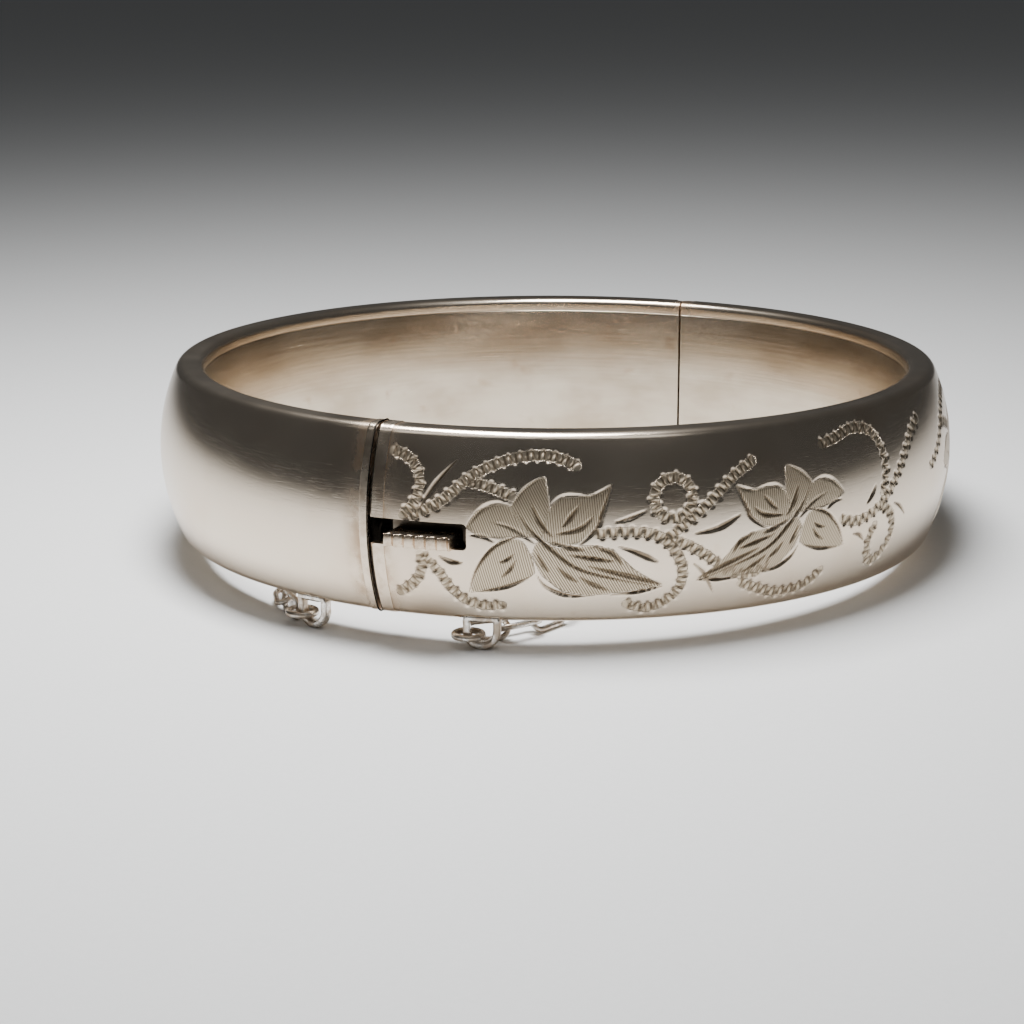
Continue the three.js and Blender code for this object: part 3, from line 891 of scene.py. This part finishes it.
def shell(half):
    """One half's hollow outer shell, swept round the wrist axis from the clasp to the hinge."""
    engraved = half == "engraved"
    side = 1 if engraved else -1
    body = half + "_half"
    step = 0.1 if engraved else 0.4
    heights = (
        graded(-DOME_HALF, SLOT_LOW, step)
        + graded(SLOT_LOW, SLOT_HIGH, step)[1:]
        + graded(SLOT_HIGH, DOME_HALF, step)[1:]
    )
    start = SHELL_START[half] + 0.01
    end = ARC_RADIUS * math.pi - NOTCH_RADIUS
    if engraved:
        columns = graded(start, SLOT_END, step) + graded(SLOT_END, 52, step)[1:]
        columns += graded(52, end, 2 * step)[1:]
    else:
        columns = graded(start, end, 0.5)
    columns = np.array(columns)
    outer = whole_section(heights)
    low_count = len(rim_rows())
    slot_low = low_count + heights.index(SLOT_LOW)
    slot_high = low_count + heights.index(SLOT_HIGH)
    slot_column = int(np.argmin(abs(columns - SLOT_END)))

    def surface(inset):
        """(s, z, r) grids of the outer face moved in by inset."""
        r = outer[:, 0] - outer[:, 2] * inset
        z = outer[:, 1] - outer[:, 3] * inset
        first = ARC_RADIUS * np.arcsin(start / r)
        gap = notch_half_width(r)
        last = ARC_RADIUS * (math.pi / 2 + np.arccos(gap / r))
        near = np.clip(1 - (columns - columns[0]) / 3, 0, 1)[:, None]
        near_end = np.clip(1 - (columns[-1] - columns) / 6, 0, 1)[:, None]
        s = columns[:, None] + (first - columns[0]) * near + (last - columns[-1]) * near_end
        z = np.broadcast_to(z, s.shape).copy()
        if engraved:
            round_slot_end(s, z)
        return s, z, np.broadcast_to(r, s.shape).copy()

    def round_slot_end(s, z):
        """Draws the grid's rows in towards the slot where its far corners are round."""
        into = np.clip((s - (SLOT_END - SLOT_CORNER)) / SLOT_CORNER, 0, 1)
        past = np.clip(1 - (s - SLOT_END) / 0.8, 0, 1)
        bite = SLOT_CORNER * (1 - np.sqrt(1 - into**2)) * past
        for edge, sign in ((SLOT_HIGH, -1), (SLOT_LOW, 1)):
            weight = np.clip(1 - abs(z - edge) / 0.8, 0, 1)
            z += sign * bite * weight

    def points(s, z, r):
        turn = s / ARC_RADIUS - math.pi / 2
        return np.stack([side * r * np.cos(turn), r * np.sin(turn), z + BAND_MIDDLE], -1)

    s_out, z_out, r_out = surface(0.0)
    attributes = {"stain_and_shade": stain_near_ends(s_out, s_out.max())}
    if engraved:
        dome = slice(low_count - 3, len(outer) - low_count + 3)
        e = Engraving(s_out[:, dome], z_out[:, dome])
        engrave(e)
        fade = np.clip((DOME_HALF + 0.2 - abs(e.z)) / 0.3, 0, 1)
        fade *= np.clip((s_out.max() - 2.5 - e.s) / 1.0, 0, 1)
        turn = np.broadcast_to(outer[dome], e.s.shape + (4,))
        sink = e.depth * fade
        r_out[:, dome] -= sink * turn[..., 2]
        z_out[:, dome] -= sink * turn[..., 3]
        for key, values in (("cut", e.cut), ("hatch", e.hatch), ("phase", e.phase)):
            grid = np.zeros_like(s_out)
            grid[:, dome] = values * (fade if key != "phase" else 1)
            attributes[key] = grid
    outside = points(s_out, z_out, r_out)
    inside = points(*surface(WALL))
    count, rows = s_out.shape
    vertices = np.concatenate([outside.reshape(-1, 3), inside.reshape(-1, 3)])
    base = count * rows
    in_slot = np.zeros((count - 1, rows - 1), bool)
    if engraved:
        in_slot[:slot_column, slot_low:slot_high] = True

    def corner(i, k, inner):
        return inner * base + i * rows + k

    faces = []
    for i in range(count - 1):
        for k in range(rows - 1):
            if in_slot[i, k]:
                continue
            for inner in (0, 1):
                near = [corner(i, k, inner), corner(i + 1, k, inner)]
                far = [corner(i + 1, k + 1, inner), corner(i, k + 1, inner)]
                faces.append(near + far)
    for k in range(rows - 1):
        for i, row in ((0, 0), (count - 1, count - 2)):
            if not in_slot[row, k]:
                faces.append([corner(i, k, 0), corner(i, k + 1, 0), corner(i, k + 1, 1), corner(i, k, 1)])
    for i in range(count - 1):
        for k in (0, rows - 1):
            faces.append([corner(i, k, 0), corner(i + 1, k, 0), corner(i + 1, k, 1), corner(i, k, 1)])
        if in_slot[i].any():
            for k in (slot_low, slot_high):
                faces.append([corner(i, k, 0), corner(i + 1, k, 0), corner(i + 1, k, 1), corner(i, k, 1)])
    if engraved:
        for k in range(slot_low, slot_high):
            i = slot_column
            faces.append([corner(i, k, 0), corner(i, k + 1, 0), corner(i, k + 1, 1), corner(i, k, 1)])
    # The inner face gets cut and stain values of 1: painted shade, dark brown, where it shows on the slot
    # walls.
    doubled = {}
    for key, values in attributes.items():
        inner_painted_shade = np.full(values.size, 1.0 if key in ("cut", "stain_and_shade") else 0.0)
        doubled[key] = np.concatenate([values.ravel(), inner_painted_shade])
    material = ENGRAVED_SILVER if engraved else PLAIN_SILVER
    made = make_object(half + "_shell", vertices, faces, material, doubled)
    drop_loose(made)
    slot_name = "engraved_silver" if engraved else "polished_silver"
    place(made, body, slot_name, half + "_outer_shell")
    made.data.set_sharp_from_angle(angle=math.radians(50))


def drop_loose(made):
    """Removes the vertices that no face uses, inside the slot."""
    bm = bmesh.new()
    bm.from_mesh(made.data)
    bmesh.ops.delete(bm, geom=[v for v in bm.verts if not v.link_faces], context="VERTS")
    bm.to_mesh(made.data)
    bm.free()


def swept_block(name, outline, side, start, end_of, columns, material):
    """A closed section outline (r, z) swept from x = start to the plane that end_of(r) gives."""
    r = np.array([p[0] for p in outline])
    z = np.array([p[1] for p in outline])
    first = np.arcsin(start / r)
    last = end_of(r)
    vertices = []
    for u in columns:
        turn = first + (last - first) * u - math.pi / 2
        ring = np.stack([side * r * np.cos(turn), r * np.sin(turn), z + BAND_MIDDLE], 1)
        vertices.append(ring)
    rows = len(outline)
    count = len(columns)
    faces = [list(range(rows)), list(range((count - 1) * rows, count * rows))]
    for i in range(count - 1):
        for k in range(rows):
            j = (k + 1) % rows
            a = i * rows
            faces.append([a + k, a + j, a + rows + j, a + rows + k])
    return make_object(name, np.concatenate(vertices), faces, material)


def liner(half):
    """The strip that closes the hollow band inside, with softly rounded edges."""
    side = 1 if half == "engraved" else -1
    thickness, half_height = 0.45, 5.85
    outline = rounded_rectangle(thickness / 2, half_height, 0.1, 3)
    outline = [(INNER_RADIUS + thickness / 2 + a, b) for a, b in outline]

    def end_of(r):
        return math.pi / 2 + np.arccos(HINGE_SEAM_HALF / r)

    columns = np.linspace(0, 1, 181)
    made = swept_block(half + "_liner", outline, side, SHELL_START[half], end_of, columns, SATIN)
    place(made, half + "_half", "satin_silver", half + "_inner_liner")
    made.data.set_sharp_from_angle(angle=math.radians(50))


def clasp_plate(half):
    """The end plate, a hair proud of the band all round."""
    side = 1 if half == "engraved" else -1
    heights = np.linspace(-DOME_HALF, DOME_HALF, 25)
    rows = whole_section(list(heights))
    outline = [(r + nr * PLATE_PROUD, z + nz * PLATE_PROUD) for r, z, nr, nz in rows]
    end = PLATE_END[half]
    columns = np.linspace(0, 1, 5)
    made = swept_block(
        half + "_plate", outline, side, SEAM_HALF, lambda r: np.arcsin(end / r), columns, PLATE_SILVER
    )
    if half == "engraved":
        carve(made, [slot_cutter(), mouth_cutter()])
    soften_edges(made, 0.09, 3, 40)
    place(made, half + "_half", "polished_silver", half + "_clasp_plate")


def slot_cutter():
    """The slot through the plate, flared where it opens on the seam."""
    outline = [(-1.0, SLOT_LOW - MOUTH_ROUND)]
    lower, upper = [], []
    for i in range(7):
        turn = math.pi / 2 * i / 6
        x = SEAM_HALF + MOUTH_ROUND * (1 - math.cos(turn))
        flare = MOUTH_ROUND * (1 - math.sin(turn))
        lower.append((x, SLOT_LOW - flare))
        upper.append((x, SLOT_HIGH + flare))
    outline += lower + [(3.0, SLOT_LOW), (3.0, SLOT_HIGH)] + upper[::-1]
    outline += [(-1.0, SLOT_HIGH + MOUTH_ROUND)]
    outline = [(x, z + BAND_MIDDLE) for x, z in outline]
    return prism("slot_cutter", outline, -36.0, -30.7, "y", PLATE_SILVER)


def mouth_cutter():
    """The opening that the tongue slides through."""
    low, high = BAND_MIDDLE - TONGUE_MOUTH_HALF, BAND_MIDDLE + TONGUE_MOUTH_HALF
    outline = [(-1.0, PIN_Y - TONGUE_MOUTH_OUTER), (3.0, PIN_Y - TONGUE_MOUTH_OUTER)]
    outline += [(3.0, PIN_Y - TONGUE_MOUTH_INNER), (-1.0, PIN_Y - TONGUE_MOUTH_INNER)]
    return prism("mouth_cutter", outline, low, high, "z", PLATE_SILVER)


for half_name in ("plain", "engraved"):
    shell(half_name)
    liner(half_name)
    clasp_plate(half_name)


# ---------------------------------------------------------------- thumb piece, hinge, loops, chain


def thumb_piece():
    """The thumb piece: a bar with a fluted outer face and a scalloped upper edge."""
    lo, hi = node_box("thumb_piece")
    flutes = 6
    depth = 0.34
    across = (hi.x - lo.x) / flutes
    base = math.hypot(hi.x, hi.y)
    outline = [(x, -math.sqrt(base**2 - x * x)) for x in np.linspace(hi.x, lo.x, 9)]

    def face(x):
        return -math.sqrt((OUTER_RADIUS + 0.95) ** 2 - x * x)

    for i in range(flutes):
        for j in range(8):
            u = j / 8
            x = lo.x + across * (i + u)
            outline.append((x, face(x) + depth * (1 - abs(2 * u - 1) ** 1.6)))
    outline.append((hi.x, face(hi.x)))
    made = prism("thumb_bar", outline, lo.z, hi.z, "z", THUMB)
    soften_edges(made, 0.05, 2, 30)
    return place(made, "clasp_spring", "polished_silver", "thumb_piece")


thumb_piece()


def knuckle(index):
    """One knuckle of the hinge with its lug, bored for the pin."""
    name = "hinge_knuckle_" + str(index)
    lo, hi = node_box(name)
    side = -1 if index % 2 else 1
    ring = [(x, y + PIN_Y) for x, y in circle(KNUCKLE_RADIUS, 40)]
    made = prism(name + "_barrel", ring, lo.z, hi.z, "z", HINGE)
    lug_y = PIN_Y - HINGE_LUG_INWARD
    lug = [
        (0, lug_y - HINGE_LUG_HALF),
        (side * HINGE_LUG_REACH, lug_y - HINGE_LUG_HALF),
        (side * HINGE_LUG_REACH, lug_y + HINGE_LUG_HALF),
        (0, lug_y + HINGE_LUG_HALF),
    ]
    bore = [(x, y + PIN_Y) for x, y in circle(PIN_RADIUS + 0.05, 28)]
    inset = 0.75 if index in (1, 5) else 0.0
    low = lo.z + (inset if index == 1 else 0)
    high = hi.z - (inset if index == 5 else 0)
    carve(made, [prism("lug", lug, low, high, "z", HINGE)], "UNION")
    carve(made, [prism("bore", bore, lo.z - 1, hi.z + 1, "z", HINGE)])
    soften_edges(made, 0.06, 2, 40)
    body = "plain_half" if index % 2 else "engraved_half"
    place(made, body, "warm_hinge_silver", name)


def hinge_pin():
    """The pin, with its two ends peened into low domes."""
    lo, hi = node_box("hinge_pin")
    made = prism("hinge_rod", [(x, y + PIN_Y) for x, y in circle(PIN_RADIUS, 28)], lo.z, hi.z, "z", HINGE)
    soften_edges(made, 0.14, 4, 40)
    place(made, "plain_half", "warm_hinge_silver", "hinge_pin")


for number in range(1, 6):
    knuckle(number)
hinge_pin()


def safety_loop(half):
    """A D-shaped loop of flattened wire, soldered under the band."""
    angle = math.radians(LOOP_ANGLE[half])
    out = Vector((math.cos(angle), math.sin(angle), 0))
    along = Vector((-math.sin(angle), math.cos(angle), 0))
    up = Vector((0, 0, 1))
    radius = LOOP_HALF_WIDTH - LOOP_BAR / 2
    centre = out * LOOP_RADIUS + up * LOOP_HALF_WIDTH
    top = LOOP_DROP + 0.1 - LOOP_HALF_WIDTH
    path = []
    steps = 20
    for i in range(steps + 1):
        turn = math.pi + math.pi * i / steps
        normal = along * math.cos(turn) + up * math.sin(turn)
        path.append((centre + normal * radius, normal, out))
    for i in range(1, 5):
        outward = (along + up * (i > 3)).normalized()
        path.append((centre + along * radius + up * (top * i / 4), outward, out))
    for i in range(1, 4):
        path.append((centre + along * (radius * (1 - 2 * i / 4)) + up * top, up, out))
    for i in range(4, 0, -1):
        outward = (up * (i > 3) - along).normalized()
        path.append((centre - along * radius + up * (top * i / 4), outward, out))
    section = rounded_rectangle(LOOP_BAR / 2, LOOP_DEPTH / 2, 0.2, 4)
    made = tube(half + "_loop", path, section, WIRE, 0.05)
    place(made, half + "_half", "silver_wire", half + "_safety_loop")


for half_name in ("plain", "engraved"):
    safety_loop(half_name)


def node_axes(name):
    """Centre, axes and half sizes of a CAD node, longest first, in millimetres."""
    co = np.array([v.co for v in frame["nodes"][name].data.vertices]) / MM
    middle = co.mean(0)
    _, axes = np.linalg.eigh(np.cov((co - middle).T))
    axes = axes[:, ::-1].T
    spans = [(co @ axis).max() - (co @ axis).min() for axis in axes]
    centre = sum(axis * ((co @ axis).max() + (co @ axis).min()) / 2 for axis in axes)
    return Vector(centre), [Vector(a) for a in axes], [s / 2 for s in spans]


def chain_piece(name, wire_radius, body):
    """A link or ring of round wire along the middle of its CAD node."""
    centre, axes, halves = node_axes(name)
    radius = halves[1] - wire_radius
    stretch = max(0.0, halves[0] - halves[1])
    if stretch < 0.05:
        stretch = 0.0
    path = []
    steps = 40
    for i in range(steps):
        turn = 2 * math.pi * (i + 0.5) / steps
        out = axes[0] * math.cos(turn) + axes[1] * math.sin(turn)
        shift = axes[0] * math.copysign(stretch, math.cos(turn))
        path.append((centre + out * radius + shift, out, axes[2]))
    made = tube(name + "_wire", path, circle(wire_radius), WIRE, 0.02)
    place(made, body, "silver_wire", name)


chain_names = [n for n in frame["nodes"] if "chain_link" in n or "jump_ring" in n]
body_of = {n: b for b, nodes in frame["record"]["behaviour"]["bodies"].items() for n in nodes}
for chain_name in sorted(chain_names):
    wire_radius = RING_WIRE if "ring" in chain_name else LINK_WIRE
    chain_piece(chain_name, wire_radius, body_of[chain_name])

# The tongue and spring leaves take the thumb piece's finish, so inside the band they carry its painted
# shade, near black.
for kept, material in (
    ("tongue_leaf", THUMB),
    ("spring_leaf", THUMB),
    ("plain_hinge_plate", HINGE),
    ("engraved_hinge_plate", HINGE),
):
    data = frame["nodes"][kept].data
    data.materials.clear()
    data.materials.append(material)


# ---------------------------------------------------------------- floor, light, camera


def floor():
    """A pale table that the leaning bangle stands on."""
    size = 3000.0
    corners = []
    for x, y in ((-size, -size), (size, -size), (size, size), (-size, size)):
        corners.append((x, y, LEAN * (y + LOOP_RADIUS)))
    made = make_object("table", corners, [(0, 1, 2, 3)], paper())


def area_light(name, position, target, size, power, color=(1, 1, 1)):
    data = bpy.data.lights.new(name, "AREA")
    data.shape = "RECTANGLE"
    data.size, data.size_y = size
    data.energy = power
    data.color = color
    made = bpy.data.objects.new(name, data)
    made.location = Vector(position)
    made.rotation_mode = "QUATERNION"
    made.rotation_quaternion = (Vector(target) - made.location).to_track_quat("-Z", "Y")
    bpy.context.scene.collection.objects.link(made)


def world():
    made = bpy.data.worlds.new("studio")
    bpy.context.scene.world = made
    made.use_nodes = True
    made.node_tree.nodes["Background"].inputs[0].default_value = (0.052, 0.053, 0.054, 1)
    made.node_tree.nodes["Background"].inputs[1].default_value = 1.0


def camera():
    """Above and to the right of the clasp, where the picture was taken from."""
    azimuth, elevation = math.radians(25), math.radians(14.209)
    distance, across, upwards = 200.0, 3.546, 6.443
    level = math.cos(elevation)
    forward = Vector((-math.sin(azimuth) * level, math.cos(azimuth) * level, -math.sin(elevation)))
    right = Vector((math.cos(azimuth), math.sin(azimuth), 0))
    up = right.cross(forward)
    centre = Vector((0, 0, BAND_MIDDLE))
    data = bpy.data.cameras.new("camera")
    data.lens = LENS_MM
    data.sensor_width = 36
    data.clip_start, data.clip_end = 0.01, 20
    made = bpy.data.objects.new("camera", data)
    made.location = (centre - forward * distance - right * across - up * upwards) * MM
    made.rotation_mode = "QUATERNION"
    made.rotation_quaternion = forward.to_track_quat("-Z", "Y")
    bpy.context.scene.collection.objects.link(made)
    bpy.context.scene.camera = made


floor()
area_light("softbox", (-0.012, -0.018, 0.135), (-0.010, -0.014, 0), (0.09, 0.045), 0.53)
area_light("strip", (0.02, -0.10, 0.16), (0, -0.02, 0.01), (0.24, 0.05), 0.05)
world()
camera()
